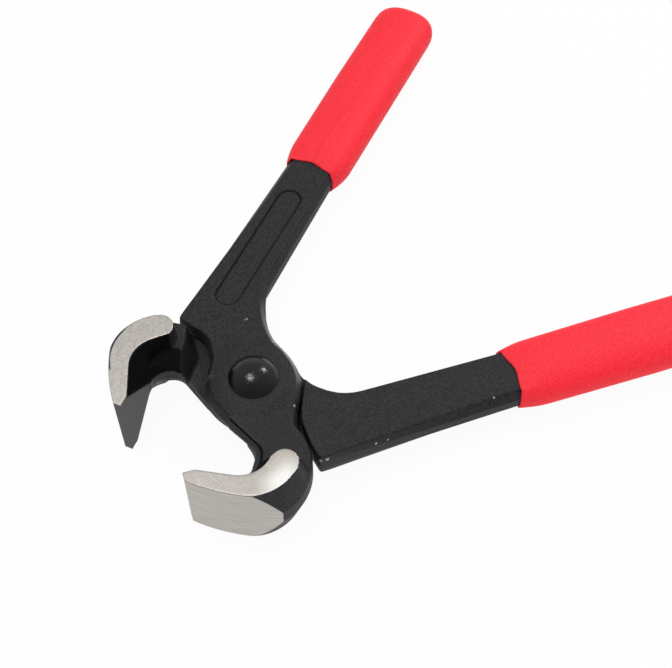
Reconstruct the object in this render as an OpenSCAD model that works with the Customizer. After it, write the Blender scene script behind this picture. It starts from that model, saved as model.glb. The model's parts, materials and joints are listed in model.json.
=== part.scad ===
// End cutting nippers: two crossed levers on one rivet, with a sleeve on each handle.
// Each lever is drawn once, as it lies with the jaws closed, then turned to the open pose.

/* [Overall] */
// length from the jaw fronts to the handle ends, jaws closed
overall_length = 200; // [190:1:210]
// angle that the jaws stand open in the stored pose
opening_angle = 42; // [30:1:42]

/* [Jaws] */
// width of a jaw along its cutting edge
jaw_width = 24; // [22:0.5:27]
// pivot to cutting edge
edge_reach = 37.6; // [36.6:0.1:38.6]
// run of the small bevel between the front and the edge
front_land = 1.7; // [1.2:0.1:2.2]
// slope of the ground bevel inside the mouth
bevel_angle = 46; // [44:0.5:48]
// radius that the jaw fronts are ground to
front_radius = 52; // [46:1:60]
// centre line to the back of a jaw
jaw_back = 29; // [28.2:0.1:29.8]
// radius of the back of a jaw
jaw_round = 16.9; // [16.5:0.1:17.4]
// height of the upright band round a jaw's back
jaw_band = 5; // [4:0.5:7]
// how far the flat cheeks stand in from the back
cheek_draft = 2.8; // [2.4:0.1:3.2]
// radius of the mouth's hollow halfway across the jaw
mouth_radius = 5.4; // [5:0.1:5.8]
// radius of the mouth's hollow at the cheeks
cheek_hollow = 9; // [8.6:0.1:9.4]
// height of the upright band in the mouth, on the side of the other lever's plate
mouth_band = 3; // [2:0.1:4]
// gap left between the cutting edges when closed
edge_gap = 0.3; // [0.2:0.05:0.6]

/* [Joint] */
// thickness over both levers at the rivet
joint_thickness = 12; // [11:0.5:13]
// radius of the round plate that each lever has at the rivet
disc_radius = 13; // [12.6:0.1:13.2]
// gap between the two plates
lap_gap = 0.3; // [0.2:0.05:0.5]
// gap between a plate's rim and the shoulder round it
shoulder_gap = 0.7; // [0.5:0.05:1]
// radius of the hollow shoulder behind a jaw, at its foot
crescent_radius = 18.4; // [17.8:0.1:18.8]
// how far that shoulder slopes back from its foot to its top
crescent_slope = 4.3; // [3.6:0.1:4.8]
// rivet shank diameter
rivet_diameter = 8; // [6:0.5:9]
// running clearance round the shank and under the heads
rivet_fit = 0.05; // [0.02:0.01:0.1]
// rivet head diameter
head_diameter = 14.4; // [12:0.2:15]
// rivet head height
head_height = 3.6; // [2.5:0.1:4.5]

/* [Handles] */
// centre line to the outer edge of a handle, jaws closed
handle_out = 30.7; // [30.2:0.1:31.2]
// handle width where it leaves the joint
handle_width = 17.6; // [16.8:0.1:18.4]
// handle width lost for each mm of length
handle_taper = 0.042; // [0.034:0.002:0.046]
// how far a handle leans out for each mm of length
handle_lean = 0.014; // [0.008:0.002:0.02]
// handle thickness
handle_thickness = 8.6; // [7.6:0.2:9.6]
// width of the sloped edges of a handle
edge_slope_w = 1.2; // [0.8:0.1:1.4]
// height of the sloped edges of a handle
edge_slope_h = 2.6; // [1.5:0.1:3]
// how far the top of the neck stands in from its foot
neck_draft = 1.5; // [1:0.1:1.8]
// how far the top of a plate stands in from its foot
plate_draft = 1; // [0.6:0.1:1.4]
// length of the shallow panel in a handle
panel_length = 48; // [40:1:50]
// width of the shallow panel
panel_width = 7.4; // [6:0.1:8]
// depth of the shallow panel
panel_depth = 0.5; // [0.3:0.05:0.8]

/* [Grips] */
// grip width
grip_width = 21.5; // [20.5:0.1:23]
// grip thickness
grip_thickness = 12.6; // [12:0.1:14]
// pivot to the mouth of the upper grip
upper_grip_start = 78; // [74:0.5:84]
// pivot to the mouth of the lower grip
lower_grip_start = 68.6; // [66:0.2:76]
// wall left beyond the end of the handle
grip_end_wall = 3; // [2:0.1:5]
// clearance between a grip and its handle
grip_fit = 0.05; // [0.02:0.01:0.1]
// wall of a grip at its mouth
mouth_wall = 0.7; // [0.5:0.05:1]
// length over which a grip swells from its mouth to its full width
lip_length = 13; // [10:0.5:16]
// how far a grip's end is rounded
nose_length = 9; // [7:0.5:12]

/* [Hidden] */
$fn = 96;
half_open = opening_angle / 2;
jaw_h = jaw_width / 2;
joint_h = joint_thickness / 2;
handle_h = handle_thickness / 2;
band_h = jaw_band / 2;
front_reach = edge_reach + front_land;
// axis of the jaw's rounded back
jaw_x = -(edge_reach - 14.2);
jaw_y = -(jaw_back - jaw_round);
// round end of the cheek flat next to the joint, [x, y, radius], on the plate's side and on the other
own_cap = [jaw_x + 1.1, jaw_y - 10.3, 3.76];
far_cap = [jaw_x + 3, jaw_y - 9.8, 3.95];
function cap_spread(shelf) = cheek_draft * (jaw_h - shelf) / (jaw_h - band_h);
// foot of the wall between the hollow shoulder and the jaw's root
wall_x = -11.6;
// handle
boss_top = 8.5;
panel_start = 19;
taper_start = 33;
bar_join = 46;
// a length past every edge, for cutters
beyond = front_reach + handle_out;
grip_end = overall_length - front_reach;
bar_end = grip_end - grip_end_wall;
function outer_y(x) = handle_out + (x - taper_start) * handle_lean;
function inner_y(x) = handle_out - handle_width + (x - taper_start) * (handle_lean + handle_taper);
function mid_y(x) = (inner_y(x) + outer_y(x)) / 2;
outer_angle = atan(handle_lean);
inner_angle = atan(handle_lean + handle_taper);
wall_h = handle_h - edge_slope_h;
// grip sections: [along, share of the full size, share of the oval, wall where it hugs the handle]
function lip_ease(t) = t * t * (3 - 2 * t);
function nose_share(t) = pow(1 - pow(t, 2.6), 1 / 2.6);
function grip_stations(start) = concat(
    [[start, 1, 0, mouth_wall * 0.7]],
    [for (t = [0.03, 0.12, 0.25, 0.4, 0.55, 0.7, 0.85, 1])
        [start + t * lip_length, 1, lip_ease(t), mouth_wall]],
    [for (t = [0, 0.3, 0.5, 0.7, 0.85, 0.95, 0.99])
        [grip_end - (1 - t) * nose_length, nose_share(t), 1, mouth_wall]]
);
// from the middle line of the handle at x to its surface, at an angle
function handle_reach(x, angle) =
    let (c = max(abs(cos(angle)), 0.001), s = max(abs(sin(angle)), 0.001),
         w = (outer_y(x) - inner_y(x)) / 2)
    min(w / c, handle_h / s,
        (w * edge_slope_h + wall_h * edge_slope_w) / (c * edge_slope_h + s * edge_slope_w));
ring_n = 40;
function power_cos(a) = sign(cos(a)) * pow(abs(cos(a)), 0.8);
function power_sin(a) = sign(sin(a)) * pow(abs(sin(a)), 0.8);
function grip_ring(s) = [
    for (i = [0:ring_n - 1])
        let (a = i * 360 / ring_n,
             oval = [grip_width / 2 * power_cos(a), grip_thickness / 2 * power_sin(a)],
             hug = (handle_reach(s[0], atan2(oval[1], oval[0])) + grip_fit + s[3]) / norm(oval),
             p = oval * s[1] * (s[2] + (1 - s[2]) * hug))
        [s[0], mid_y(s[0]) + p[0], p[1]]
];
function grip_points(start) = [for (s = grip_stations(start)) each grip_ring(s)];
// the stored frame: middle of the box around the open tool, at its underside
x_low = -front_reach * cos(half_open) + (front_land + edge_gap / 2) * sin(half_open);
x_high = max([for (p = grip_points(upper_grip_start)) p[0] * cos(half_open) - p[1] * sin(half_open)]);
frame_shift = [-(x_low + x_high) / 2, 0, jaw_h];

// corner points [x, y, radius] to an outline with each corner rounded
function unit(v) = v / norm(v);
function corner(p, q, r, steps) =
    let (c = [q[0], q[1]], a = unit([p[0], p[1]] - c), b = unit([r[0], r[1]] - c),
         half = acos(a * b) / 2, run = q[2] / tan(half), mid = c + unit(a + b) * q[2] / sin(half),
         from = c + a * run - mid, to = c + b * run - mid,
         turn = atan2(from[0] * to[1] - from[1] * to[0], from * to),
         start = atan2(from[1], from[0]))
    q[2] == 0 ? [c] :
    [for (i = [0:steps]) let (t = start + turn * i / steps) mid + q[2] * [cos(t), sin(t)]];
function rounded(pts, steps = 8) = [
    for (i = [0:len(pts) - 1])
        each corner(pts[(i + len(pts) - 1) % len(pts)], pts[i], pts[(i + 1) % len(pts)], steps)
];

// a solid through layers of [height, outline] with equal numbers of points, that hub can see all of
module through(layers, hub) {
    n = len(layers[0][1]);
    last = len(layers) - 1;
    low = (last + 1) * n;
    polyhedron(
        points = concat(
            [for (layer = layers) each [for (p = layer[1]) [p[0], p[1], layer[0]]]],
            [[hub[0], hub[1], layers[0][0]], [hub[0], hub[1], layers[last][0]]]
        ),
        faces = concat(
            [for (i = [0:n - 1]) [low, i, (i + 1) % n]],
            [for (k = [0:last - 1], i = [0:n - 1])
                each [[k * n + i, (k + 1) * n + (i + 1) % n, k * n + (i + 1) % n],
                      [k * n + i, (k + 1) * n + i, (k + 1) * n + (i + 1) % n]]],
            [for (i = [0:n - 1]) [low + 1, last * n + (i + 1) % n, last * n + i]]
        )
    );
}

// the plate's full side towards the mouth, and the neck from it to the jaw, in by d from its foot
function neck_outline(d) = rounded([
    [0, 0, 0],
    [-5.2 + d * 0.4, 12.6 - d * 0.9, 0],
    [-11.6 + d * 0.9, 9.3 - d * 0.5, disc_radius + 0.7 - d],
    [jaw_x + 5 + d * 0.6, jaw_y + 0.9 - d * 2, 5 - d],
    [jaw_x - 1.2 + d * 1.2, jaw_y - 0.8 - d * 2.9, 0],
    [jaw_x + 0.4, jaw_y - 6.8, 0],
    [jaw_x + 5.4, jaw_y - 12.8 + d, 0],
    [jaw_x + 12.4 - d * 0.8, jaw_y - 9.2 + d * 0.6, 0],
    [-5.4 - d * 0.3, -15.6 + d, 10],
    [4 - d * 0.3, -12.2 + d * 0.9, 0]
]);

// root of the handle, from the joint plate to the straight bar: the neck leaves the plate at start and
// turns into the bar at turn, [along, radius], in by d at the neck and by e on the bar
function root_outline(start, turn, d, e) = rounded([
    [0, 0, 0],
    [disc_radius - 1 - d, -3, 0],
    [start[0] - d * 0.8, start[1] + d * 0.6, 3],
    [turn[0] - d * 0.5, inner_y(turn[0]) + d * 0.9, turn[1]],
    [bar_join, inner_y(bar_join) + e, 0],
    [bar_join, outer_y(bar_join) - e, 0],
    [8.6, outer_y(8.6) - e * 0.6, 1.2],
    [7 + d * 0.4, 20.4 - d * 0.2, 9],
    [0.6 + d * 0.4, 14.6 - d * 0.6, 5],
    [-4 + d * 0.3, 12.2 - d, 0]
]);

// the neck turns in further on the side of the other lever's plate
module root() {
    near = [13.2, 0.8];
    near_turn = [24.6, 28];
    far = [12.6, 1.6];
    far_turn = [20.2, 15];
    through([
        [-handle_h, root_outline(far, far_turn, neck_draft, edge_slope_w)],
        [-wall_h, root_outline(far, far_turn, 0, 0)],
        [wall_h, root_outline(near, near_turn, 0, 0)],
        [handle_h, root_outline(near, near_turn, neck_draft, edge_slope_w)]
    ], [11, 15]);
}

// plate at the rivet, with a low boss under the rivet's head
module plate() {
    cylinder(r = disc_radius, h = wall_h);
    top_radius = disc_radius - plate_draft;
    translate([0, 0, wall_h]) cylinder(r1 = disc_radius, r2 = top_radius, h = edge_slope_h);
    translate([0, 0, handle_h]) cylinder(r1 = top_radius, r2 = boss_top, h = joint_h - handle_h);
    foot = neck_outline(0);
    through([[0, foot], [wall_h, foot], [handle_h, neck_outline(plate_draft)]], [-9, -11]);
}

// space that the other lever's plate turns in
module lap_plan() {
    circle(r = disc_radius + shoulder_gap);
    polygon([
        [0, 0],
        [disc_radius + shoulder_gap, 2.6],
        [10.9, 10.9],
        [9.2, 17],
        [8.2, 23.2],
        [7.8, 31],
        [7.8, beyond],
        [-beyond, beyond],
        [-beyond, 0]
    ]);
    translate([wall_x, -beyond]) square([30, beyond]);
}

// hollow shoulder behind a jaw, from the lap down: it slopes back from its foot to its top
module crescent() {
    foot = lap_gap / 2;
    top = -joint_h;
    deep = -jaw_h - 1;
    top_radius = crescent_radius + crescent_slope;
    intersection() {
        union() {
            translate([0, 0, top]) cylinder(r1 = top_radius, r2 = crescent_radius, h = foot - top);
            translate([0, 0, deep]) cylinder(r = top_radius, h = top - deep);
        }
        translate([-beyond, -beyond, deep]) cube([beyond, beyond, foot - deep]);
    }
    slant = [[-22.2, 0], [-7.1, -36], [0, -36], [0, 0]];
    through([
        [deep, slant],
        [top, slant],
        [foot, [[wall_x, 0], [wall_x, -36], [0, -36], [0, 0]]]
    ], [-4, -18]);
}

// straight bar with sloped edges, larger by c all round for the space in a grip
module bar(from, to, c = 0) {
    difference() {
        translate([0, 0, -handle_h - c])
            linear_extrude(height = handle_thickness + 2 * c)
                polygon([
                    [from, inner_y(from) - c],
                    [to, inner_y(to) - c],
                    [to, outer_y(to) + c],
                    [from, outer_y(from) + c]
                ]);
        for (side = [-1, 1]) {
            translate([from, outer_y(from) + c, side * (handle_h + c)])
                rotate([0, 0, outer_angle])
                    translate([-1, 0, 0])
                        edge_slope(to - from + 2, -1, -side);
            translate([from, inner_y(from) - c, side * (handle_h + c)])
                rotate([0, 0, inner_angle])
                    translate([-1, 0, 0])
                        edge_slope(to - from + 2, 1, -side);
        }
    }
}

// wedge along X that takes off one edge, in from it by dy and dz
module edge_slope(length, dy, dz) {
    rotate([90, 0, 90])
        linear_extrude(height = length)
            polygon([
                [-dy * 0.2, -dz],
                [dy * edge_slope_w, -dz],
                [dy * edge_slope_w, 0],
                [0, dz * edge_slope_h],
                [-dy * 0.2, dz * edge_slope_h]
            ]);
}

// half of a jaw, above its middle plane, before the mouth is cut, with a shelf at its root
module jaw_half(shelf, cap) {
    intersection() {
        union() {
            difference() {
                union() {
                    translate([jaw_x, jaw_y, 0]) {
                        cylinder(r = jaw_round, h = band_h);
                        translate([0, 0, band_h])
                            cylinder(r1 = jaw_round, r2 = jaw_round - cheek_draft, h = jaw_h - band_h);
                    }
                    translate([jaw_x - jaw_round, jaw_y - 4.4, 0]) cube([jaw_round, 20, jaw_h]);
                }
                translate([cap[0], -beyond, shelf]) cube([beyond, beyond, jaw_h]);
            }
            translate([cap[0], cap[1], shelf])
                cylinder(r1 = cap[2] + cap_spread(shelf), r2 = cap[2], h = jaw_h - shelf);
        }
        translate([front_radius - front_reach, 0, 0]) cylinder(r = front_radius, h = jaw_h, $fn = 180);
        translate([-beyond, -beyond, 0]) cube([beyond - 4, beyond - edge_gap / 2, jaw_h]);
    }
}

// the mouth's hollow: upright for a height, then wider towards the cheeks, and flat beside the joint
module hollow_half(upright) {
    mid = [jaw_x + 0.4, jaw_y + 5.1];
    side = 5.9;
    intersection() {
        hull() {
            for (shift = [[0, 0], [4.5, 14]])
                translate([mid[0] + shift[0], mid[1] + shift[1], -0.1])
                    cylinder(r = mouth_radius, h = upright + 0.1, $fn = 48);
            for (shift = [[0, 0], [-5.4, 16.3]])
                translate([mid[0] - 0.6 + shift[0], mid[1] - 2.4 + shift[1], jaw_h])
                    cylinder(r = cheek_hollow, h = 0.2, $fn = 48);
        }
        translate([jaw_x, jaw_y, -1])
            linear_extrude(height = jaw_h + 2)
                polygon([[side, -12], [side, 0.8], [side + 5.4, 17.8], [-39, 17.8], [-39, -12]]);
    }
}

// the mouth goes deeper at its root on the side of the other lever's plate
module root_hollow() {
    shelf_radius = mouth_radius + 1.2;
    translate([jaw_x + 2.9, jaw_y + 1, -joint_h]) {
        cylinder(r1 = shelf_radius, r2 = 0.3, h = joint_h - mouth_band);
        translate([0, 0, joint_h - jaw_h - 0.1])
            cylinder(r1 = shelf_radius + 0.7, r2 = shelf_radius, h = jaw_h - joint_h + 0.1);
    }
}

module jaw() {
    difference() {
        union() {
            jaw_half(handle_h, own_cap);
            mirror([0, 0, 1]) jaw_half(joint_h, far_cap);
        }
        hollow_half(0.1);
        mirror([0, 0, 1]) hollow_half(mouth_band);
        root_hollow();
        // ground bevel inside the mouth
        translate([-edge_reach, -edge_gap / 2, -jaw_h - 1])
            rotate([0, 0, -bevel_angle])
                translate([-0.5, 0, 0])
                    cube([15.4, 24, jaw_width + 2]);
        // small bevel at the front
        translate([-edge_reach, -edge_gap / 2, -jaw_h - 1])
            rotate([0, 0, 45])
                translate([-20, 0, 0])
                    cube([20.5, 24, jaw_width + 2]);
    }
}

module lever() {
    difference() {
        union() {
            root();
            plate();
            bar(bar_join, bar_end);
            jaw();
        }
        translate([0, 0, -jaw_h - 1]) linear_extrude(height = jaw_h + 1 + lap_gap / 2) lap_plan();
        crescent();
        translate([0, 0, -jaw_h]) cylinder(d = rivet_diameter + 2 * rivet_fit, h = jaw_width);
        translate([panel_start + panel_width / 2, mid_y(panel_start + 3), handle_h - panel_depth])
            rotate([0, 0, (outer_angle + inner_angle) / 2])
                linear_extrude(height = 5)
                    panel_plan();
    }
}

module panel_plan() {
    circle(d = panel_width);
    translate([panel_length - panel_width, 0]) circle(d = panel_width);
    translate([0, -panel_width / 2]) square([panel_length - panel_width, panel_width]);
}

module rivet_profile() {
    head_r = head_diameter / 2;
    ball = (head_r * head_r + head_height * head_height) / (2 * head_height);
    base = joint_h + rivet_fit;
    translate([0, -base - 0.5]) square([rivet_diameter / 2, 2 * base + 1]);
    for (side = [-1, 1])
        intersection() {
            translate([0, side * (base + head_height - ball)]) circle(r = ball);
            translate([0, side > 0 ? base : -base - head_height]) square([head_r, head_height]);
        }
}

module grip(start) {
    pts = grip_points(start);
    rings = len(pts) / ring_n;
    difference() {
        polyhedron(
            points = pts,
            faces = concat(
                [[for (i = [0:ring_n - 1]) i]],
                [for (k = [0:rings - 2], i = [0:ring_n - 1])
                    each [[k * ring_n + i, (k + 1) * ring_n + i, (k + 1) * ring_n + (i + 1) % ring_n],
                          [k * ring_n + i, (k + 1) * ring_n + (i + 1) % ring_n,
                           k * ring_n + (i + 1) % ring_n]]],
                [[for (i = [ring_n - 1:-1:0]) (rings - 1) * ring_n + i]]
            )
        );
        bar(start - 2, bar_end + grip_fit, grip_fit);
    }
}

module upper_place() {
    translate(frame_shift) rotate([0, 0, half_open]) children();
}

module lower_place() {
    translate(frame_shift) rotate([0, 0, -half_open]) rotate([180, 0, 0]) children();
}

module upper_lever() {
    color([0.17, 0.17, 0.18]) upper_place() lever();
}

module lower_lever() {
    color([0.2, 0.2, 0.21]) lower_place() lever();
}

module pivot_rivet() {
    color([0.1, 0.1, 0.1]) translate(frame_shift) rotate_extrude() rivet_profile();
}

module upper_grip() {
    color([0.9, 0.12, 0.17]) upper_place() grip(upper_grip_start);
}

module lower_grip() {
    color([0.88, 0.11, 0.16]) lower_place() grip(lower_grip_start);
}

upper_lever();
lower_lever();
pivot_rivet();
upper_grip();
lower_grip();
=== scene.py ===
import json

import bpy
import numpy as np
from mathutils import Matrix


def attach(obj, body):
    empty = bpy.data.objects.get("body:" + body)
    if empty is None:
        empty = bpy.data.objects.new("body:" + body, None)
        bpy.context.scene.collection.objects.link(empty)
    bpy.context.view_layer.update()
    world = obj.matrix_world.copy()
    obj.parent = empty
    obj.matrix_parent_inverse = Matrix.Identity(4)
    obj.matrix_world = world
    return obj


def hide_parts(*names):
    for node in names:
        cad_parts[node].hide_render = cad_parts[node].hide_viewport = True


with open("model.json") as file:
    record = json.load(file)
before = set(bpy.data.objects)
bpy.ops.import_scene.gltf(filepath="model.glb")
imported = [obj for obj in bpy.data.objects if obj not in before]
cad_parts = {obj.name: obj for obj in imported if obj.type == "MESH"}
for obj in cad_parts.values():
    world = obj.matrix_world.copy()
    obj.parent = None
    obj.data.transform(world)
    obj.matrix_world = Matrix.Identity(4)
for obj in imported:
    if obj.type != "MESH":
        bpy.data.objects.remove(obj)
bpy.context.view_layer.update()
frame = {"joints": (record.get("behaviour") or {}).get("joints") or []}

# The two levers.
# One steel drop forging used twice, the second turned over: jaw, half-lap plate and tang in one piece.
# It is blackened all over, and then the cheeks, the front and the edges of the jaw are ground.

edge_reach, front_land, edge_gap = 37.6, 1.7, 0.3
front_radius = 52.0
bevel = np.radians(46.0)
jaw_h, band_h, jaw_round, cheek_draft = 12.0, 2.5, 16.9, 2.8
jaw_x, jaw_y = -23.4, -12.1
own_cap, far_cap = (-22.3, -22.4, 3.76), (-20.4, -21.9, 3.95)
mouth_radius, cheek_hollow, mouth_band = 5.4, 9.0, 3.0
disc_radius, joint_h, plate_draft = 13.0, 6.0, 1.0
lap_gap, shoulder_gap, crescent_radius, crescent_slope = 0.3, 0.8, 18.4, 4.3
hole_radius = 4.05
handle_h, wall_h, slope_h = 4.3, 1.7, 2.6
tang_end = 157.7
handle_root, outer_root, inner_root = 33, 30.7, 13.1
outer_lean, inner_lean = 0.014, 0.056
panel_radius, panel_run, panel_depth = 3.7, 40.6, 0.5
panel_x, panel_root, panel_lean = 22.7, 22, 0.035
half_open = np.radians(21.0)
mm_in_m = 1000
pivot = np.array(frame["joints"][0]["pos_m"]) * mm_in_m


def outer_y(x):
    """Outer edge of a handle: a straight line that leans out along the handle."""
    return outer_root + (x - handle_root) * outer_lean


def inner_y(x):
    """Inner edge of a handle: a straight line that closes on the outer one."""
    return inner_root + (x - handle_root) * inner_lean


def mid_y(x):
    """Middle line of a handle, halfway between its two edges."""
    return (inner_y(x) + outer_y(x)) / 2


def soft_max(a, b, k):
    """Larger of two fields, with the crease rounded over where they differ by less than k."""
    return np.maximum(a, b) + np.maximum(k - np.abs(a - b), 0) ** 2 / (4 * k)


def soft_min(a, b, k):
    """Smaller of two fields, with a fillet where they differ by less than k."""
    return -soft_max(-a, -b, k)


def rounded(corners, steps=6):
    """Outline through [x, y, radius] corners: each corner is an arc that touches both of its sides."""
    points = []
    n = len(corners)
    for i, (x, y, radius) in enumerate(corners):
        c = np.array([x, y])
        if radius == 0:
            points.append(c[None])
            continue
        a = np.array(corners[i - 1][:2]) - c
        b = np.array(corners[(i + 1) % n][:2]) - c
        a, b = a / np.linalg.norm(a), b / np.linalg.norm(b)
        half = np.arccos(a @ b) / 2
        middle = c + (a + b) / np.linalg.norm(a + b) * radius / np.sin(half)
        first, last = c + a * radius / np.tan(half) - middle, c + b * radius / np.tan(half) - middle
        turn = np.arctan2(first[0] * last[1] - first[1] * last[0], first @ last)
        angle = np.arctan2(first[1], first[0]) + turn * np.linspace(0, 1, steps + 1)
        points.append(middle + radius * np.stack([np.cos(angle), np.sin(angle)], 1))
    return np.concatenate(points)


def outline_distance(x, y, points):
    """Distance to a closed outline, below zero inside: the least distance to any side,
    with its sign from the number of sides that a level line crosses."""
    x, y = np.broadcast_arrays(x, y)
    a, b = points, np.roll(points, -1, 0)
    e = b - a
    px, py = x[..., None] - a[:, 0], y[..., None] - a[:, 1]
    t = np.clip((px * e[:, 0] + py * e[:, 1]) / (e ** 2).sum(1), 0, 1)
    away = np.hypot(px - t * e[:, 0], py - t * e[:, 1]).min(-1)
    rise = np.where(e[:, 1] == 0, 1e-9, e[:, 1])
    crossed = ((a[:, 1] > y[..., None]) != (b[:, 1] > y[..., None])) & (px < e[:, 0] * py / rise)
    return np.where(crossed.sum(-1) % 2 == 1, -away, away)


def handle_outline(start_x, start_y, turn, radius):
    """Plan of a handle with its root: straight edges to the tang's end,
    and a neck that turns in to the plate."""
    return rounded([
        [0, 0, 0], [12, -3, 0], [start_x, start_y, 3], [turn, inner_y(turn), radius],
        [tang_end, inner_y(tang_end), 0], [tang_end, outer_y(tang_end), 0],
        [8.6, outer_y(8.6), 1.2], [7, 20.4, 9], [0.6, 14.6, 5], [-4, 12.2, 0]])


def neck_outline(d):
    """Plan of the plate's side towards the mouth and of the neck from it to the jaw,
    in by d from its foot."""
    return rounded([
        [0, 0, 0], [-5.2 + d * 0.4, 12.6 - d * 0.9, 0],
        [-11.6 + d * 0.9, 9.3 - d * 0.5, disc_radius + 0.7 - d],
        [jaw_x + 5 + d * 0.6, jaw_y + 0.9 - d * 2, 5 - d],
        [jaw_x - 1.2 + d * 1.2, jaw_y - 0.8 - d * 2.9, 0],
        [jaw_x + 0.4, jaw_y - 6.8, 0], [jaw_x + 5.4, jaw_y - 12.8 + d, 0],
        [jaw_x + 12.4 - d * 0.8, jaw_y - 9.2 + d * 0.6, 0], [-5.4 - d * 0.3, -15.6 + d, 10],
        [4 - d * 0.3, -12.2 + d * 0.9, 0]])


# Plans of the handle on its own side and on the far one, of the neck, of the plate's side away
# from the mouth, and of the room for the other lever's shoulder.
near_plan = handle_outline(start_x=13.2, start_y=0.8, turn=24.6, radius=28)
far_plan = handle_outline(start_x=12.6, start_y=1.6, turn=20.2, radius=15)
neck_foot, neck_top = neck_outline(0), neck_outline(plate_draft)
rim_foot = rounded([
    [-9, -9, 0], [-11, -21.2, 0], [-6, -17.9, 10], [-2.4, -16, 10], [1.4, -14.5, 10], [5.6, -12.7, 10],
    [8.3, -10.6, 10], [10.4, -8.3, 10], [12.6, -5.1, 10], [14.5, -1.2, 10], [16, 2.5, 10], [18.4, 5.5, 10],
    [21.2, 7.9, 10], [24.4, 9.8, 10], [29, 12.6, 0], [29, 20, 0], [0, 8, 0]])
rim_top = rounded([
    [-9, -9, 0], [-11.8, -20.4, 0], [-6.5, -15.9, 9], [-3.5, -14.7, 10], [1.1, -13.1, 10], [4.9, -11.4, 10],
    [7.9, -9, 10], [10.2, -6.1, 10], [12.2, -2.6, 10], [13.9, 1.6, 10], [16.2, 4.9, 10], [19.1, 7.8, 10],
    [22.5, 10.4, 10], [29, 14.6, 0], [29, 20, 0], [0, 8, 0]])
shoulder_plan = np.array([
    [0, 0], [14.8, 0], [14.6, 2.2], [13.05, 5.6], [11.2, 9.6], [9.35, 13.3], [8.15, 17.1],
    [7.95, 22], [7.9, 31], [7.9, 45], [-30, 45], [-30, 0]], float)


def capsule(x, y, ax, ay, dx, dy):
    """Distance to the straight line from (ax, ay) that runs by (dx, dy)."""
    px, py = x - ax, y - ay
    t = np.clip((px * dx + py * dy) / np.maximum(dx * dx + dy * dy, 1e-6), 0, 1)
    return np.hypot(px - t * dx, py - t * dy)


def mouth_field(x, y, z):
    """The mouth's hollow: a slot with round ends that widens to the cheeks and stands upright
    beside the joint, and a cone that deepens its root on the side of the other lever's plate."""
    joint_run, cheek_run = (4.5, 14), (-5.4, 16.3)
    upright_x, upright_y, upright_lean = 5.9, 0.8, 0.318
    root_x, root_y, root_radius, root_slope, root_flare = 2.9, 1, 0.3, 2.1, 0.12
    up = np.abs(z)
    band = np.where(z > 0, 0.0, mouth_band)
    t = np.clip((up - band) / (jaw_h - band), 0, 1.02)
    cx, cy = jaw_x + 0.4 - 0.6 * t, jaw_y + 5.1 - 2.4 * t
    ax, ay = (run * (1 - t) for run in joint_run)
    bx, by = (run * t for run in cheek_run)
    slot = np.minimum(
        np.minimum(capsule(x, y, cx, cy, ax, ay), capsule(x, y, cx + ax, cy + ay, bx, by)),
        np.minimum(capsule(x, y, cx, cy, bx, by), capsule(x, y, cx + bx, cy + by, ax, ay)))
    slot = slot - (mouth_radius + (cheek_hollow - mouth_radius) * t)
    upright = x - jaw_x - upright_x - np.maximum(y - jaw_y - upright_y, 0) * upright_lean
    cone = root_radius + root_slope * (np.minimum(up, joint_h) - mouth_band)
    cone = cone + root_flare * np.maximum(up - joint_h, 0)
    root = np.maximum(np.hypot(x - jaw_x - root_x, y - jaw_y - root_y) - cone, z)
    return soft_min(soft_max(slot, upright, 1.0), root, 0.8)


def jaw_field(x, y, z):
    """The jaw: a round back that narrows to flat cheeks, and a tip, less the mouth's hollow,
    all cut by the round front, the long bevel inside and the short bevel outside."""
    tip_depth, jaw_end, bevel_start, bevel_run, diagonal = 4.4, -4, -0.5, 14.9, 0.7071
    cheek_round, ground_round = 0.15, 0.12
    up = np.abs(z)
    shelf = np.where(z > 0, handle_h, joint_h)
    cap_x, cap_y, cap_r = (np.where(z > 0, own, far) for own, far in zip(own_cap, far_cap))
    rise = np.clip((up - band_h) / (jaw_h - band_h), 0, 1)
    back = np.hypot(x - jaw_x, y - jaw_y) - (jaw_round - cheek_draft * rise)
    tip = np.maximum(np.abs(x - jaw_x + jaw_round / 2) - jaw_round / 2, jaw_y - tip_depth - y)
    blank = np.minimum(back, tip)
    blank = soft_max(blank, soft_min(up - shelf, x - cap_x, 1.6), 0.6)
    cap = np.hypot(x - cap_x, y - cap_y) - cap_r - np.where(z > 0, 1.0, 0.25) * cheek_draft * (1 - rise)
    blank = soft_min(blank, soft_max(cap, shelf - 1 - up, 0.5), 1.0)
    blank = np.maximum(blank, x - jaw_end)
    blank = soft_max(blank, -mouth_field(x, y, z), 0.5)
    blank = soft_max(blank, up - jaw_h, cheek_round)
    front = np.hypot(x - front_radius + edge_reach + front_land, y) - front_radius
    blank = soft_max(blank, front, cheek_round)
    ex, ey = x + edge_reach, y + edge_gap / 2
    along, out = ex * np.cos(bevel) - ey * np.sin(bevel), ex * np.sin(bevel) + ey * np.cos(bevel)
    inside = np.maximum(soft_max(-out, along - bevel_run, 2.0), bevel_start - along)
    blank = soft_max(blank, -inside, ground_round)
    outside = np.minimum((ey - ex) * diagonal, 0.5 - (ex + ey) * diagonal)
    blank = soft_max(blank, outside, ground_round)
    return np.maximum(blank, ey)


def lap_field(x, y, z):
    """The space for the other lever's plate: its round, the sweep of its neck
    and the sloped hollow behind the jaw."""
    slant_x, slant_run, slant_lean = -11.6, 10.6, 0.4194
    beside_x, beside_half = 3.4, 15
    r = np.hypot(x, y)
    deep = np.clip((lap_gap / 2 - z) / (lap_gap / 2 + joint_h), 0, 1)
    quarter = np.maximum(x, y)
    crescent = np.maximum(r - crescent_radius - crescent_slope * deep, quarter)
    slant = np.maximum(slant_x - deep * (slant_run + slant_lean * y) - x, quarter)
    beside = np.maximum(np.abs(x - beside_x) - beside_half, y)
    room = np.minimum(np.minimum(r - disc_radius - shoulder_gap, outline_distance(x, y, shoulder_plan)),
                      np.minimum(soft_min(crescent, slant, 1.5), beside))
    return np.maximum(room, z - lap_gap / 2)


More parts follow.
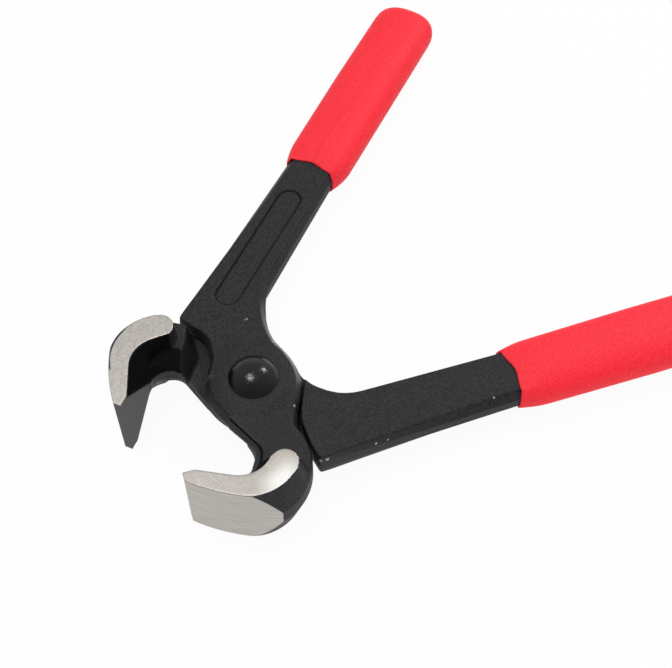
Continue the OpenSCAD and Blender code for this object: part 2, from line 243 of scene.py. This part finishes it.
def rim_field(x, y, z):
    """The plate's side away from the mouth: its plan at the foot drawn in to its plan at the top."""
    foot = outline_distance(x, y, rim_foot)
    return foot + (outline_distance(x, y, rim_top) - foot) * np.clip((z - wall_h) / slope_h, 0, 1)


def lever_field(x, y, z, full=False):
    """The whole lever: drafted handle, plate that swells under the rivet and jaw, filleted together,
    less the space for the other lever's plate, the rivet's hole and the shallow panel.
    A full one has the wider side to its plate."""
    inner_inset, least_inset, most_inset, inset_growth, inset_x = 1.3, 0.3, 1.9, 0.034, 12
    swell_radius, swell_run = 15.5, 8
    up = np.abs(z)
    r = np.hypot(x, y)
    ramp = np.clip((up - wall_h) / slope_h, 0, 1)
    near, far = outline_distance(x, y, near_plan), outline_distance(x, y, far_plan)
    plan = far + (near - far) * np.clip((z + wall_h) / (2 * wall_h), 0, 1)
    outside = np.clip((y - mid_y(x)) / 6 + 0.5, 0, 1)
    outer_inset = np.clip(least_inset + inset_growth * (x - inset_x), least_inset, most_inset)
    inset = inner_inset * (1 - outside) + outside * outer_inset
    swell = np.clip((swell_radius - r) / swell_run, 0, 1)
    top = handle_h + (joint_h - handle_h) * swell * swell * (3 - 2 * swell)
    lean = np.clip((z - wall_h) / slope_h, 0, 1.3)
    foot = outline_distance(x, y, neck_foot)
    neck = foot + (outline_distance(x, y, neck_top) - foot) * lean
    plate = soft_min(r - disc_radius + plate_draft * lean, neck, 0.8)
    if full:
        plate = soft_min(plate, rim_field(x, y, z), 0.4)
    lever = soft_min(plan + inset * ramp, np.maximum(plate, -z), 0.8 if full else 3.5)
    lever = soft_max(lever, np.maximum(z - top, -z - handle_h), 0.5)
    lever = soft_min(lever, jaw_field(x, y, z), 0.6)
    worn = np.clip((r - 15) / 3, 0, 1) * np.clip(-(x + y) / 8, 0, 1)
    lever = soft_max(lever, -lap_field(x, y, z), 0.3 + 0.7 * worn)
    lever = np.maximum(lever, hole_radius - r)
    turn = np.arctan(panel_lean)
    run_x, run_y = panel_run * np.cos(turn), panel_run * np.sin(turn)
    panel = capsule(x, y, panel_x, mid_y(panel_root), run_x, run_y) - panel_radius
    return soft_max(lever, -soft_max(panel, handle_h - panel_depth - z, 0.4), 0.25)


def full_field(x, y, z):
    """The whole lever with the wider side to its plate."""
    return lever_field(x, y, z, True)


def settle(field, points, rounds):
    """Moves points along the slope of a field to where it is zero, in short steps;
    gives the slopes there too."""
    reach, least_slope, longest = 0.03, 0.2, 0.3
    for _ in range(rounds):
        slope = np.stack([(field(*(points + d).T) - field(*(points - d).T)) / (2 * reach)
                          for d in np.eye(3) * reach], 1)
        step = field(*points.T) / np.maximum((slope ** 2).sum(1), least_slope)
        points = points - slope * step.clip(-longest, longest)[:, None]
    return points, slope / np.linalg.norm(slope, axis=1)[:, None]


def skin(field, xs, ys, zs):
    """Surface where a field is zero: one point in each grid cell that it crosses, at the mean of the
    crossings on the cell's edges and then moved down the slope, and one face round each crossed edge."""
    f = field(xs[:, None, None], ys[None, :, None], zs[None, None, :])
    inside = f < 0
    lines = (xs, ys, zs)
    cells, places, flips = [], [], []
    for axis in range(3):
        low = [slice(None)] * 3
        high = [slice(None)] * 3
        low[axis], high[axis] = slice(None, -1), slice(1, None)
        at = np.argwhere(inside[tuple(low)] != inside[tuple(high)])
        fa, fb = f[tuple(low)][tuple(at.T)], f[tuple(high)][tuple(at.T)]
        place = np.stack([lines[k][at[:, k]] for k in range(3)], 1)
        place[:, axis] += fa / (fa - fb) * (lines[axis][at[:, axis] + 1] - lines[axis][at[:, axis]])
        step = np.zeros((4, 3), int)
        step[[1, 2], (axis + 1) % 3] = -1
        step[[2, 3], (axis + 2) % 3] = -1
        cells.append(np.ravel_multi_index(tuple(np.moveaxis(at[:, None] + step, -1, 0)), f.shape))
        places.append(place)
        flips.append(fa > 0)
    cells, places, flips = np.concatenate(cells), np.concatenate(places), np.concatenate(flips)
    _, index = np.unique(cells, return_inverse=True)
    index = index.reshape(-1)
    share = np.bincount(index)
    points = np.stack([np.bincount(index, np.repeat(places[:, k], 4)) / share for k in range(3)], 1)
    faces = index.reshape(-1, 4)
    faces = np.where(flips[:, None], faces[:, ::-1], faces)
    points, slope = settle(field, points, 2)
    return points, faces, slope


def new_mesh(name, points, faces):
    """Mesh object at the origin from points in millimetres and four-sided faces, shaded smooth."""
    mesh = bpy.data.meshes.new(name)
    mesh.vertices.add(len(points))
    mesh.vertices.foreach_set("co", (points / mm_in_m).astype(np.float32).ravel())
    mesh.loops.add(faces.size)
    mesh.loops.foreach_set("vertex_index", faces.astype(np.int32).ravel())
    mesh.polygons.add(len(faces))
    mesh.polygons.foreach_set("loop_start", np.arange(0, faces.size, faces.shape[1], dtype=np.int32))
    mesh.update(calc_edges=True)
    mesh.validate()
    mesh.shade_smooth()
    piece = bpy.data.objects.new(name, mesh)
    bpy.context.scene.collection.objects.link(piece)
    return piece


def mark(piece, name, values):
    """Keeps a number or a vector at each point of a piece, for its material to read."""
    kind, key = ("FLOAT", "value") if values.ndim == 1 else ("FLOAT_VECTOR", "vector")
    layer = piece.data.attributes.new(name, kind, "POINT")
    layer.data.foreach_set(key, values.astype(np.float32).ravel())


def place(points, side):
    """From the closed drawing to the stored pose: turned over for side -1, then opened by half the angle."""
    x, y, z = points[:, 0], points[:, 1] * side, points[:, 2] * side
    c, s = np.cos(half_open), np.sin(half_open) * side
    return np.stack([x * c - y * s, x * s + y * c, z], 1) + pivot


class Value:
    """One output of a node; sums and products of it add Math nodes."""

    def __init__(self, tree, socket):
        self.tree, self.socket = tree, socket

    def node(self, kind, settings=None, out=0, **sockets):
        """A node of a type: its settings are set first, then the values or links of its sockets,
        which are named, or numbered as i0, i1 and so on."""
        made = self.tree.nodes.new("ShaderNode" + kind)
        for key, value in (settings or {}).items():
            setattr(made, key, value)
        for key, value in sockets.items():
            socket = made.inputs[int(key[1:])] if key[1:].isdigit() else made.inputs[key.replace("_", " ")]
            if isinstance(value, Value):
                self.tree.links.new(value.socket, socket)
            else:
                socket.default_value = value
        return Value(self.tree, made.outputs[out])

    def math(self, operation, *others):
        """A Math node on this value and the others."""
        terms = {f"i{k}": v for k, v in enumerate((self, *others))}
        return self.node("Math", {"operation": operation}, **terms)

    def __add__(self, other):
        return self.math("ADD", other)

    def __mul__(self, other):
        return self.math("MULTIPLY", other)

    def __sub__(self, other):
        return self.math("SUBTRACT", other)

    def __rsub__(self, other):
        return self.node("Math", {"operation": "SUBTRACT"}, i0=other, i1=self)

    __radd__, __rmul__ = __add__, __mul__

    def step(self, low, high):
        """From 0 at low to 1 at high, eased at both ends."""
        return self.node("MapRange", {"interpolation_type": "SMOOTHSTEP"},
                         Value=self, From_Min=low, From_Max=high)

    def mix(self, first, second):
        """Colour that goes from first to second as this value goes from 0 to 1."""
        return self.node("Mix", {"data_type": "RGBA"}, out=2, i0=self, i6=first, i7=second)

    def noise(self, scale, detail=2.0, rough=0.5):
        """Noise over this vector."""
        return self.node("TexNoise", Vector=self, Scale=scale, Detail=detail, Roughness=rough)

    def distance(self, place):
        """Distance of this vector from a place."""
        return self.node("VectorMath", {"operation": "DISTANCE"}, out="Value", i0=self, i1=place)


def new_finish(name):
    """A material with its shader and its object coordinates as a Value."""
    finish = bpy.data.materials.new(name)
    finish.use_nodes = True
    tree = finish.node_tree
    shader = next(n for n in tree.nodes if n.type == "BSDF_PRINCIPLED")
    coordinates = tree.nodes.new("ShaderNodeTexCoord")
    return finish, shader, Value(tree, coordinates.outputs["Object"])


def feed(shader, socket, value):
    """Links a Value to a socket of the shader."""
    value.tree.links.new(value.socket, shader.inputs[socket])


def lever_finish(name, nicks, across):
    """Black phosphate with a fine tooth, ground steel on the cheeks and the front, grey on the bevels, with
    painted light: highlights on the edges and a glare on the cheek, a painted reflection on a low band, and
    painted shade along the crease and in the recesses.
    All of it follows the forging's own drawing, kept at each point of the mesh in millimetres;
    across is the direction in which the grinding lines of the cheeks lie side by side,
    or None for round lines."""
    # Some of these colours stand for light: the pale grey for the edges is partly a painted highlight, and
    # the grey of the low band, the bright glare steel, the dark crease steel and the near-black of the
    # recesses are painted light and shade.
    black_low, black_high = (0.003, 0.003, 0.004, 1), (0.032, 0.032, 0.035, 1)
    clouded, dusty, worn = (0.018, 0.018, 0.020, 1), (0.20, 0.195, 0.19, 1), (0.21, 0.21, 0.215, 1)
    lit_band_grey, bared, stained = (0.045, 0.045, 0.048, 1), (0.50, 0.48, 0.46, 1), (0.47, 0.41, 0.35, 1)
    glare_steel, crease_shade, pitted = (0.80, 0.79, 0.76, 1), (0.22, 0.20, 0.18, 1), (0.16, 0.14, 0.13, 1)
    grey_low, grey_high = (0.045, 0.045, 0.050, 1), (0.085, 0.084, 0.088, 1)
    shade_low, shade_high = (0.002, 0.002, 0.002, 1), (0.006, 0.006, 0.006, 1)
    glare_spot = (-27.0, -24.6, 12.0)
    finish, shader, at = new_finish(name)
    drawn = at.node("Attribute", {"attribute_name": "drawing"}, out="Vector")
    # The recess mark says where painted shade goes.
    recess_shade = at.node("Attribute", {"attribute_name": "recess_shade"}, out="Fac")
    # The worn-edge mark holds rubbed edges and a painted highlight.
    edge_wear_and_light = at.node("Attribute", {"attribute_name": "rubbed_and_lit_edge"}, out="Fac")
    x = drawn.node("SeparateXYZ", out=0, Vector=drawn)
    y = Value(x.tree, x.socket.node.outputs[1])
    z = Value(x.tree, x.socket.node.outputs[2])
    up = z.math("ABSOLUTE")

    # Where the ground faces, the bevels and the low band behind them lie; that band is painted lighter, a
    # painted reflection of the white sheet.
    from_axis = x + (edge_reach + front_land - front_radius)
    front_r = (from_axis * from_axis + y * y).math("SQRT")
    ahead = x.step(-24.0, -25.0)
    cheek = up.step(jaw_h - 0.055, jaw_h - 0.015)
    front = front_r.step(front_radius - 0.09, front_radius - 0.03) * ahead
    crease = up.step(jaw_h - 0.30, jaw_h - 0.18) * ahead
    crease = crease * front_r.step(front_radius - 0.26, front_radius - 0.14)
    out = (x + edge_reach) * float(np.sin(bevel)) + (y + edge_gap / 2) * float(np.cos(bevel))
    inner = out.step(-0.18, -0.08) * x.step(-26.2, -26.6) * y.step(1.0, 0.5)
    land = ((y + edge_gap / 2) - (x + edge_reach)).step(-0.16, -0.06) * x.step(-37.0, -37.3)
    bevels = inner
    if across:
        bevels = inner.math("MAXIMUM", land)
        off_x, off_y = x - (jaw_x + 0.5), y - (jaw_y + 0.3)
        # On this lever a thin rim along the cheek's outer edge, away from the tip, is drawn black instead of
        # steel.
        black_rim = (off_x * off_x + off_y * off_y).math("SQRT").step(13.95, 14.1) * y.step(-11.8, -13.5)
        cheek = cheek * (1 - black_rim * x.step(-27.0, -31.0))
    bright = cheek.math("MAXIMUM", front).math("MAXIMUM", crease).math("MAXIMUM", land) * (1 - bevels)
    band = up.step(3.1, 2.7) * x.step(-17.0, -18.5) * y.step(-15.0, -14.0) * (1 - bright)

    # The black, with its tooth, clouds, dust, rubbed edges with a painted highlight, a painted reflection on
    # the low band, and nicks.
    tooth = drawn.noise(2.0, 3.0, 0.75)
    cloud = drawn.noise(0.09, 2.0)
    speck = drawn.noise(3.1, 1.0).step(0.70, 0.78) * drawn.noise(0.30, 1.0).step(0.40, 0.65)
    black = tooth.step(0.36, 0.64).mix(black_low, black_high)
    black = (cloud * 0.4).mix(black, clouded)
    black = (speck * 0.30).mix(black, dusty)
    # Partly painted highlight: the rubbed edges and the plate's sloped rim are lightened.
    black = (edge_wear_and_light * (0.45 + tooth * 0.5)).mix(black, worn)
    # Painted reflection: the low upright band behind the jaw is lightened as if it caught the white sheet.
    black = (band * 0.7).mix(black, lit_band_grey)
    bare = None
    for *centre, size in nicks:
        gap = drawn.distance(centre)
        spot = (gap + (tooth - 0.5) * (1.6 * size)).step(size, size * 0.6)
        bare = spot if bare is None else bare.math("MAXIMUM", spot)
    black = (bare * 0.8).mix(black, bared)

    # The ground steel, with its lines, stains and pits, a painted glare and a painted shade along the crease,
    # and the grey bevels.
    if across:
        side = x * across[0] + y * across[1]
    else:
        off_x, off_y = x - jaw_x, y - jaw_y
        side = (off_x * off_x + off_y * off_y).math("SQRT")
    scratch = at.node("CombineXYZ", X=side * 4.5, Y=x * 0.10, Z=y * 0.10).noise(1.0, 3.0, 0.6)
    streak = at.node("CombineXYZ", X=z * 3.2, Y=y * 0.10, Z=0.0).noise(1.0, 4.0, 0.6)
    scratch = scratch * (0.30 if across else 0.40) + drawn.noise(1.3, 4.0, 0.75) * (0.70 if across else 0.50)
    lines = scratch * (1 - front) + streak * front
    low, high = (0.42, 0.59) if across else (0.41, 0.56)
    steel = lines.step(0.34, 0.66).mix((low, low * 0.93, low * 0.85, 1), (high, high * 0.955, high * 0.89, 1))
    stain = drawn.noise(0.20, 3.0, 0.6).step(0.42, 0.75)
    steel = (stain * 0.30).mix(steel, stained)
    if not across:
        # Painted highlight: a bright glare spot on the upper jaw's cheek, where a lamp's reflection falls.
        gap = drawn.distance(glare_spot)
        steel = (gap.step(9.0, 1.0) * side.step(6.0, 12.5) * cheek).mix(steel, glare_steel)
        # Painted shade: the steel along the rounded crease between cheek and front is darkened.
        steel = (crease * (1 - cheek) * 0.7).mix(steel, crease_shade)
    pits = drawn.noise(1.5, 2.0, 0.6).step(0.655, 0.72) * drawn.noise(0.25, 1.0).step(0.40, 0.60) * cheek
    steel = (pits * 0.65).mix(steel, pitted)
    grey = drawn.noise(1.6, 4.0, 0.7).mix(grey_low, grey_high)

    feed(shader, "Base Color", bevels.mix(bright.mix(black, steel), grey))
    feed(shader, "Metallic", (bright * 0.85).math("MAXIMUM", bare * 0.6))
    rough = (0.50 + tooth * 0.14 - edge_wear_and_light * 0.12) * (1 - bright) + bright * (0.38 + lines * 0.10)
    feed(shader, "Roughness", rough - bevels * 0.06)
    height = tooth * (1 - bright) * (1 - bevels) + lines * 0.15 * bright
    feed(shader, "Normal", at.node("Bump", Strength=0.45, Distance=0.00012, Height=height))
    shader.inputs["Specular IOR Level"].default_value = 0.24
    # Painted shade: in the recesses the surface turns to a flat near-black that takes almost no light.
    dark = tooth.mix(shade_low, shade_high)
    painted_shade = at.node("BsdfPrincipled", Base_Color=dark, Roughness=0.9, Specular_IOR_Level=0.0)
    painted = Value(at.tree, shader.outputs[0])
    mixed = at.node("MixShader", i0=recess_shade * 0.9 * (1 - bright), i1=painted, i2=painted_shade)
    at.tree.links.new(mixed.socket, at.tree.nodes["Material Output"].inputs["Surface"])
    return finish


def between(low, high, count):
    """Grid lines from one place up to the next, the last one left to the next stretch."""
    return np.linspace(low, high, count, endpoint=False)


# The grid is closer at the cutting edge, the joint and the cheeks.
grid_x = np.concatenate([between(-40.2, -35.8, 24), between(-35.8, 32, 200), between(32, 72, 80),
                         between(72, 159, 60)])
grid_y = np.concatenate([between(-30, -2.6, 80), between(-2.6, 0.5, 18), between(0.5, 33.6, 95)])
grid_z = np.concatenate([between(-12.5, -11.3, 8), between(-11.3, 11.3, 65), between(11.3, 12.6, 8)])
forging, forging_faces, out_of = skin(lever_field, grid_x, grid_y, grid_z)
# The upper lever's plate is wider on its side away from the mouth.
shapes = {"lower_lever": (forging, out_of), "upper_lever": (forging.copy(), out_of.copy())}
wider = (forging[:, 2] > 0.2) & (np.abs(rim_field(*forging.T)) < 2.5) & (forging[:, 0] > -11.5)
wider &= forging[:, 1] < np.maximum(forging[:, 0] * 0.62, 0) - 2
for old, new in zip(shapes["upper_lever"], settle(full_field, forging[wider], 8)):
    old[wider] = new


def close_to(field, fade, reach=1.5):
    """1 on the skin of a form and near it, then down to 0, with the distance counted in fades."""
    return np.clip(reach - np.abs(field) / fade, 0, 1)


def past(value, start, fade):
    """0 up to a start, then up to 1 over one fade."""
    return np.clip((value - start) / fade, 0, 1)


def wear_and_painted_light(points, out_of):
    """How far each point lies in a recess, where painted shade goes, and how far its edges are rubbed and
    lit, a partly painted highlight: the edges of the side towards the mouth, where the field falls slowly
    just under the skin, and, as a painted highlight only, the sloped side of the plate away from it."""
    under, most_rubbed = 0.9, 0.35
    x, y, z = points.T
    # Painted shade: the mouth's hollow, the lap and the panel's groove are marked to be darkened, as where
    # shade falls.
    in_mouth = close_to(mouth_field(x, y, z), 0.3) * past(11.9 - np.abs(z), 0, 0.3)
    in_mouth *= past(np.maximum(-z - 2.8, z - 3.5), 0, 0.4)
    in_lap = close_to(lap_field(x, y, z), 0.3) * past(-z, 0.2, 0.6)
    groove = capsule(x, y, panel_x, mid_y(panel_root), panel_run, panel_run * panel_lean) - panel_radius
    groove = close_to(groove, 0.28) * past(z, 3, 0.5)
    recess_shade = np.maximum(np.maximum(in_mouth, 0.7 * in_lap), 0.75 * groove)
    # Partly painted highlight: the rounded edges towards the mouth are rubbed and lightened as if catching
    # light.
    rubbed_and_lit = past(lever_field(*(points - under * out_of).T), -0.88, 0.4) * (1 - recess_shade)
    rubbed_and_lit *= past(6 - x, 0, 3) * np.minimum(past(y - 0.6 * x, -2, 4), most_rubbed)
    around = np.degrees(np.arctan2(y, x))
    # Painted highlight: the sloped side of the plate away from the mouth is lightened where it turns from the
    # top.
    rim = close_to(rim_field(x, y, z), 0.3, 1.4) * past(z, 0.8, 0.8)
    rim *= past(around, -95, 60) * past(27 - x, 0, 12) * past(0.93 - out_of[:, 2], 0, 0.15)
    return recess_shade, np.maximum(rubbed_and_lit, rim)


# Nicks on each drawing, as x, y, z and size, and the way its grinding lines lie.
lever_nicks = {
    "upper_lever": [(13.9, 1.7, 4.1, 0.5), (13.1, 0.2, 4.4, 0.4), (-2.1, -14.3, 4.2, 0.5),
                    (-12.8, -23.2, 3.6, 0.6), (17.0, 12.4, 4.3, 0.25), (17.5, 12.1, 4.3, 0.25)],
    "lower_lever": [(8.7, 30.3, -2.6, 0.8), (10.8, 30.4, -2.6, 0.7), (25.1, 30.2, -2.4, 0.5),
                    (28.5, 30.1, -2.4, 0.5), (35.7, 29.9, -2.4, 0.4), (61.0, 29.2, -4.0, 0.4)],
}
brushed = {"upper_lever": None, "lower_lever": (0.935, 0.355)}
for name, side, body in (("upper_lever", 1, "upper"), ("lower_lever", -1, "lower")):
    points, slopes = shapes[name]
    # The recess mark carries painted shade, the worn-edge mark rubbed edges with a painted highlight.
    recess_shade, rubbed_and_lit = wear_and_painted_light(points, slopes)
    lever = new_mesh(name + "_forging", place(points, side), forging_faces)
    mark(lever, "drawing", points)
    mark(lever, "recess_shade", recess_shade if side > 0 else recess_shade * (points[:, 2] < 0))
    mark(lever, "rubbed_and_lit_edge", rubbed_and_lit)
    lever.data.materials.append(lever_finish(name + "_black_and_ground", lever_nicks[name], brushed[name]))
    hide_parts(name)
    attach(lever, body)

# The rivet.
# One steel rivet through both plates, upset to a dome on each side so that the levers turn on it.
# It is blackened with the levers, and its domes are worn smooth.

rivet_radius, head_radius, head_height, head_base = 4.0, 7.2, 3.6, 6.05
pole, rim_turn, shank_row = 0.0005, 0.02, 2.0
black_low, black_high = (0.002, 0.002, 0.002, 1), (0.006, 0.006, 0.006, 1)


def grid_faces(rows, around):
    """Faces of a closed ring of points repeated in rows; the first and last rows are drawn to a point."""
    i, j = np.meshgrid(np.arange(rows - 1), np.arange(around), indexing="ij")
    k, below = (j + 1) % around, i + 1
    corners = [i * around + j, i * around + k, below * around + k, below * around + j]
    return np.stack(corners, -1).reshape(-1, 4)


def turned(profile, around=96):
    """Solid of revolution: a profile of [radius, height] turned about the upright axis."""
    angle = np.linspace(0, 2 * np.pi, around, endpoint=False)
    r, z = profile[:, 0][:, None], profile[:, 1][:, None]
    points = np.stack(np.broadcast_arrays(r * np.cos(angle), r * np.sin(angle), z), -1).reshape(-1, 3)
    return points, grid_faces(len(profile), around)


ball = (head_radius ** 2 + head_height ** 2) / (2 * head_height)
sweep = np.linspace(pole, np.arcsin(head_radius / ball) - rim_turn, 30)
dome = np.stack([ball * np.sin(sweep), head_base + head_height - ball * (1 - np.cos(sweep))], 1)
rim = np.array([[head_radius - 0.02, head_base + 0.12], [head_radius - 0.1, head_base],
                [rivet_radius, head_base]])
upper_half = np.concatenate([dome, rim, [[rivet_radius, shank_row]]])
rivet_profile = np.concatenate([upper_half, upper_half[::-1] * [1, -1]])[::-1]
rivet_points, rivet_faces = turned(rivet_profile)
rivet = new_mesh("pivot_rivet_domed", rivet_points + pivot, rivet_faces)

finish, shader, at = new_finish("rivet_black_worn")
dents = at.noise(420.0, 2.0) + at.noise(2400.0, 2.0, 0.6) * 0.30
feed(shader, "Base Color", at.noise(2600.0, 2.0, 0.6).mix(black_low, black_high))
feed(shader, "Roughness", 0.10 + at.noise(900.0, 3.0, 0.6) * 0.18)
shader.inputs["Specular IOR Level"].default_value = 0.42
feed(shader, "Normal", at.node("Bump", Strength=0.30, Distance=0.0004, Height=dents))
rivet.data.materials.append(finish)
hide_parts("pivot_rivet")
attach(rivet, "upper")

# The grips.
# A red soft plastic sleeve on each tang, closed at its far end and pushed on tight.
# It is moulded with a fine leathery grain, and its mouth is rolled over a little.

grip_width, grip_thickness, grip_end, lip, nose = 21.5, 12.6, 160.7, 9.0, 9.0
grip_fit, grip_wall, rolled, roll_run = 0.05, 0.6, 0.2, 0.6
slim_share, slim_run, mouth_wave, wave_run = 0.055, 42, 1.8, 7
oval_power, nose_power, tang_draft, pinch = 2.5, 2.6, 1.25, 0.001


def oval_radius(angle, a, b):
    """Distance from the middle to a full oval at an angle: the two shares to the power 2.5 add up to one."""
    shares = np.abs(np.cos(angle) / a) ** oval_power + np.abs(np.sin(angle) / b) ** oval_power
    return shares ** (-1 / oval_power)


def tang_radius(angle, x):
    """Distance from the middle to the tang's sloped section at an angle: the nearest of its flat sides."""
    c, s = np.abs(np.cos(angle)), np.abs(np.sin(angle))
    w, h = (outer_y(x) - inner_y(x)) / 2 + grip_fit, handle_h + grip_fit
    slope = np.hypot(slope_h, tang_draft)
    reach = (w * slope_h + (wall_h + grip_fit) * tang_draft) / slope
    return np.minimum(np.minimum(w / np.maximum(c, 1e-6), h / np.maximum(s, 1e-6)),
                      reach / ((c * slope_h + s * tang_draft) / slope))


def sleeve(start, slim, around=112):
    """Sleeve on a tang: rings across the handle, out of the nose, along the outside to the rolled mouth,
    and back inside along the tang. Each ring is an oval or the tang's section about the middle line.
    The oval is slimmer near the mouth, on the inner side by the share slim."""
    angle = np.linspace(0, 2 * np.pi, around, endpoint=False)
    oval = oval_radius(angle, grip_width / 2, grip_thickness / 2)[None]
    t = np.linspace(0, 1, 22)
    nose_x = grip_end - nose * (1 - (1 - t ** 2) ** 0.5)[::-1]
    u = np.clip(1 - (grip_end - nose_x) / nose, 0, 1)
    nose_share = (1 - u ** nose_power) ** (1 / nose_power)
    nose_share[u > 0.9999] = pinch
    long_x = np.linspace(grip_end - nose, start + lip, 50)[1:-1]
    lip_x = start + lip * np.linspace(1, 0, 36) ** 1.6
    outside_x = np.concatenate([nose_x[::-1], long_x, lip_x])[:, None]
    share = np.concatenate([nose_share[::-1], np.ones(len(long_x) + len(lip_x))])[:, None]
    slimmer = slim_share * np.where(np.cos(angle) > 0, 1, slim)[None]
    full = share * oval * (1 - slimmer * np.clip(1 - (outside_x - start) / slim_run, 0, 1))
    hug = np.clip(1 - (outside_x - start) / lip, 0, 1) ** 2
    wall = grip_wall - rolled * np.clip(1 - (outside_x - start) / roll_run, 0, 1) ** 2
    outer = full + (tang_radius(angle[None], outside_x) + wall - full) * hug
    inside_x = np.concatenate([[start + 0.02, start + 1.0], np.linspace(start + 2, tang_end + grip_fit, 24),
                               [tang_end + grip_fit]])[:, None]
    inner = tang_radius(angle[None], inside_x)
    inner[-1] *= pinch
    x = np.concatenate([outside_x, inside_x])
    r = np.concatenate([outer, inner])
    x = x + mouth_wave * np.sin(angle) ** 2 * np.clip(1 - (x - start) / wave_run, 0, 1)
    y, z = mid_y(x) + r * np.cos(angle), r * np.sin(angle)
    points = np.stack(np.broadcast_arrays(x, y, z), -1).reshape(-1, 3)
    return points, grid_faces(len(x), around)[:, ::-1]


def grip_finish(name):
    """Red plastic with a fine leathery grain: noise at two sizes for the height,
    a little of it in the colour."""
    red_low, red_high = (0.93, 0.012, 0.026, 1), (1.0, 0.034, 0.058, 1)
    clouded, scuffed = (0.97, 0.018, 0.034, 1), (1.0, 0.30, 0.33, 1)
    finish, shader, at = new_finish(name)
    grain = at.noise(1500.0, 3.0, 0.6)
    coarse = at.noise(520.0, 2.0)
    wave = at.noise(60.0, 2.0)
    red = grain.step(0.3, 0.7).mix(red_low, red_high)
    red = (wave.step(0.35, 0.75) * 0.35).mix(red, clouded)
    pale = at.noise(1900.0, 1.0).step(0.70, 0.76) * at.noise(70.0, 1.0).step(0.45, 0.65)
    feed(shader, "Base Color", (pale * 0.35).mix(red, scuffed))
    feed(shader, "Roughness", 0.50 + grain * 0.16)
    height = grain * 0.8 + coarse * 0.5
    feed(shader, "Normal", at.node("Bump", Strength=0.4, Distance=0.00025, Height=height))
    shader.inputs["Specular IOR Level"].default_value = 0.30
    return finish


for name, side, body, start, slim in (
        ("upper_grip", 1, "upper", 78.0, 0.0), ("lower_grip", -1, "lower", 68.6, 1.0)):
    points, faces = sleeve(start, slim)
    grip = new_mesh(name + "_sleeve", place(points, side), faces)
    grip.data.materials.append(grip_finish(name + "_red"))
    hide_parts(name)
    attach(grip, body)

# The stage.
# A plain white sheet under the tool, which lies on the lower cheeks of its jaws and on its grips.
# Two lamps light it from above and one low fill from the near side, and it is seen from the lower jaw's side.

sheet_half, sheet_foot, sheet_drop, sheet_rise = 30000.0, 58.0, 0.05, 5.7 / 143.0
sheet_low, sheet_high, sheet_share = (0.87, 0.87, 0.87, 1), (0.89, 0.89, 0.89, 1), 0.95
near_level, far_level, light_side = 0.29, 0.62, (0.60, 0.70, 0.39)
photo_width, photo_height, pivot_u, pivot_v = 672, 668, 254.58, 388.07
azimuth, elevation, focal, distance = np.radians(-41.8), np.radians(55.66), 1244.57, 354.9
sensor = 36.0


def white_to_camera(finish, shader, share):
    """Mixes plain white into what the camera and reflections see, and leaves the rest to take the shadow."""
    tree = finish.node_tree
    path = tree.nodes.new("ShaderNodeLightPath").outputs
    rays = Value(tree, path["Is Camera Ray"])
    for other in ("Is Glossy Ray", "Is Transmission Ray"):
        rays = rays.math("MAXIMUM", Value(tree, path[other]))
    glow = rays.node("Emission", Strength=1.0)
    mixed = rays.node("MixShader", i0=rays * share, i1=Value(tree, shader.outputs[0]), i2=glow)
    tree.links.new(mixed.socket, tree.nodes["Material Output"].inputs["Surface"])


corner = np.array([[-1, -1], [1, -1], [1, 1], [-1, 1]]) * sheet_half
sheet_points = np.concatenate([corner, ((corner[:, :1] + sheet_foot) * sheet_rise) - sheet_drop], 1)
sheet = new_mesh("floor", sheet_points, np.array([[0, 1, 2, 3]]))
finish, shader, at = new_finish("white_sheet")
feed(shader, "Base Color", at.noise(3.0, 2.0).mix(sheet_low, sheet_high))
shader.inputs["Roughness"].default_value = 0.9
white_to_camera(finish, shader, sheet_share)
sheet.data.materials.append(finish)

world = bpy.data.worlds.new("studio")
bpy.context.scene.world = world
world.use_nodes = True
coordinates = world.node_tree.nodes.new("ShaderNodeTexCoord")
look = Value(world.node_tree, coordinates.outputs["Generated"])
ahead = look.node("VectorMath", {"operation": "DOT_PRODUCT"}, out="Value", i0=look, i1=light_side)
near_side, far_side = (look.node("Background", Color=(1, 1, 1, 1), Strength=level)
                       for level in (near_level, far_level))
mixed = look.node("MixShader", i0=ahead.step(-0.6, 0.8), i1=near_side, i2=far_side)
world.node_tree.links.new(mixed.socket, world.node_tree.nodes["World Output"].inputs["Surface"])


def set_up(name, data, at, back):
    """Object for a lamp or a camera at a point in metres, level, with its back to a direction."""
    made = bpy.data.objects.new(name, data)
    side = np.cross((0, 0, 1), back)
    side = side / np.linalg.norm(side)
    turn = np.stack([side, np.cross(back, side), back], 1)
    made.matrix_world = Matrix([[*turn[0], at[0]], [*turn[1], at[1]], [*turn[2], at[2]], [0, 0, 0, 1]])
    bpy.context.scene.collection.objects.link(made)
    return made


def lamp(name, at, towards, size, power):
    """Square area lamp at a point, turned to face another."""
    data = bpy.data.lights.new(name, "AREA")
    data.shape, data.size, data.energy = "SQUARE", size, power
    aim = np.array(towards) - np.array(at)
    return set_up(name, data, at, -aim / np.linalg.norm(aim))


lamp("top", (-0.15, 0.14, 0.90), (-0.05, 0, 0), 0.23, 2.7)
lamp("side", (0.63, 0.11, 0.58), (-0.05, 0, 0), 0.09, 1.6)
lamp("fill", (-0.17, -0.74, 0.21), (0.03, 0, 0), 0.40, 1.6).visible_glossy = False

flat = np.cos(elevation)
back = np.array([np.sin(azimuth) * flat, -np.cos(azimuth) * flat, np.sin(elevation)])
right = np.cross((0, 0, 1), back) / flat
above = np.cross(back, right)
across_by, up_by = pivot_u - photo_width / 2, pivot_v - photo_height / 2
spot = pivot + (above * up_by - right * across_by) / focal * distance + back * distance
camera_data = bpy.data.cameras.new("camera")
camera_data.sensor_fit, camera_data.sensor_width = "HORIZONTAL", sensor
camera_data.lens = focal / photo_width * sensor
camera_data.clip_start = 0.01
bpy.context.scene.camera = set_up("camera", camera_data, spot / mm_in_m, back)
bpy.context.scene.view_settings.view_transform = "Standard"
